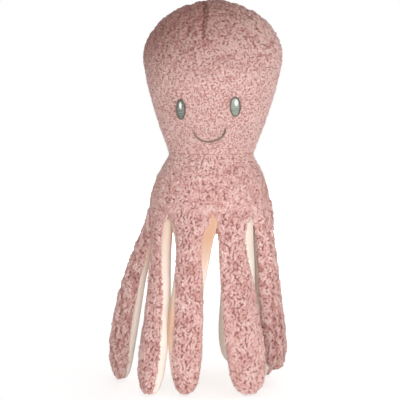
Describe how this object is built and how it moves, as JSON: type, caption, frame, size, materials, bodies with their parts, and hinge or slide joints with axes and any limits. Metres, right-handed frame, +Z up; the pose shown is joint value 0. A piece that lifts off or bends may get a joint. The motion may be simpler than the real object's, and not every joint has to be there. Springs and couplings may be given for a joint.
{
  "type": "plush octopus",
  "caption": "Stuffed octopus toy: a tall round head with an embroidered face on a flared body, and soft hanging arms with pale undersides that lift outwards.",
  "frame": {"origin": "on the ground, at the middle of the box round the whole toy", "axes": "+Z up through the crown; the face looks along -Y; +X to the right of someone who looks at the face"},
  "size_m": [0.1798, 0.1248, 0.385],
  "materials": {
    "rose_plush": "curly sherpa plush, old rose",
    "cream_jersey": "smooth short-pile jersey, cream",
    "white_fibre": "loose polyester fibre filling, white",
    "grey_thread": "satin stitch, grey, with a sheen",
    "white_thread": "satin stitch, white, with a sheen",
    "brown_thread": "stem stitch, grey-brown",
    "rose_thread": "sewing thread, rose"
  },
  "bodies": {
    "torso": {"body_front_cover": "rose_plush", "body_back_cover": "rose_plush", "base_underside": "cream_jersey", "body_stuffing": "white_fibre"},
    "neck": {"neck_seam_band": "rose_plush", "neck_stitching": "rose_thread"},
    "head": {"head_front_cover": "rose_plush", "head_back_cover": "rose_plush", "head_stuffing": "white_fibre", "eye_left": "grey_thread", "eye_glint_left": "white_thread", "eye_right": "grey_thread", "eye_glint_right": "white_thread", "smile": "brown_thread"},
    "front_left_arm": {"front_left_arm_top": "rose_plush", "front_left_arm_underside": "cream_jersey", "front_left_arm_stuffing": "white_fibre"},
    "front_right_arm": {"front_right_arm_top": "rose_plush", "front_right_arm_underside": "cream_jersey", "front_right_arm_stuffing": "white_fibre"},
    "left_front_arm": {"left_front_arm_top": "rose_plush", "left_front_arm_underside": "cream_jersey", "left_front_arm_stuffing": "white_fibre"},
    "left_back_arm": {"left_back_arm_top": "rose_plush", "left_back_arm_underside": "cream_jersey", "left_back_arm_stuffing": "white_fibre"},
    "right_front_arm": {"right_front_arm_top": "rose_plush", "right_front_arm_underside": "cream_jersey", "right_front_arm_stuffing": "white_fibre"},
    "right_back_arm": {"right_back_arm_top": "rose_plush", "right_back_arm_underside": "cream_jersey", "right_back_arm_stuffing": "white_fibre"},
    "back_left_arm": {"back_left_arm_top": "rose_plush", "back_left_arm_underside": "cream_jersey", "back_left_arm_stuffing": "white_fibre"},
    "back_right_arm": {"back_right_arm_top": "rose_plush", "back_right_arm_underside": "cream_jersey", "back_right_arm_stuffing": "white_fibre"}
  },
  "joints": [
    {"name": "head_nod", "type": "hinge", "parent": "torso", "child": "neck", "pos_m": [0.01418, -0.00171, 0.234], "axis": [1, 0, 0], "range_deg": [-8, 8], "stiffness_Nm_per_rad": 0.5},
    {"name": "head_tilt", "type": "hinge", "parent": "neck", "child": "head", "pos_m": [0.01418, -0.00171, 0.234], "axis": [0, 1, 0], "range_deg": [-8, 8], "stiffness_Nm_per_rad": 0.5},
    {"name": "front_left_arm_lift", "type": "hinge", "parent": "torso", "child": "front_left_arm", "pos_m": [-0.00903, -0.0518, 0.1797], "axis": [-0.9437, 0.3308, 0], "range_deg": [0, 90], "stiffness_Nm_per_rad": 0.12},
    {"name": "front_right_arm_lift", "type": "hinge", "parent": "torso", "child": "front_right_arm", "pos_m": [0.03739, -0.0518, 0.1797], "axis": [-0.9437, -0.3308, 0], "range_deg": [0, 90], "stiffness_Nm_per_rad": 0.12},
    {"name": "left_front_arm_lift", "type": "hinge", "parent": "torso", "child": "left_front_arm", "pos_m": [-0.04284, -0.02295, 0.1797], "axis": [-0.4397, 0.8982, 0], "range_deg": [0, 90], "stiffness_Nm_per_rad": 0.12},
    {"name": "left_back_arm_lift", "type": "hinge", "parent": "torso", "child": "left_back_arm", "pos_m": [-0.04284, 0.01952, 0.1797], "axis": [0.4397, 0.8982, 0], "range_deg": [0, 90], "stiffness_Nm_per_rad": 0.12},
    {"name": "right_front_arm_lift", "type": "hinge", "parent": "torso", "child": "right_front_arm", "pos_m": [0.0712, -0.02295, 0.1797], "axis": [-0.4397, -0.8982, 0], "range_deg": [0, 90], "stiffness_Nm_per_rad": 0.12},
    {"name": "right_back_arm_lift", "type": "hinge", "parent": "torso", "child": "right_back_arm", "pos_m": [0.0712, 0.01952, 0.1797], "axis": [0.4397, -0.8982, 0], "range_deg": [0, 90], "stiffness_Nm_per_rad": 0.12},
    {"name": "back_left_arm_lift", "type": "hinge", "parent": "torso", "child": "back_left_arm", "pos_m": [-0.00903, 0.04838, 0.1797], "axis": [0.9437, 0.3308, 0], "range_deg": [0, 90], "stiffness_Nm_per_rad": 0.12},
    {"name": "back_right_arm_lift", "type": "hinge", "parent": "torso", "child": "back_right_arm", "pos_m": [0.03739, 0.04838, 0.1797], "axis": [0.9437, -0.3308, 0], "range_deg": [0, 90], "stiffness_Nm_per_rad": 0.12}
  ]
}
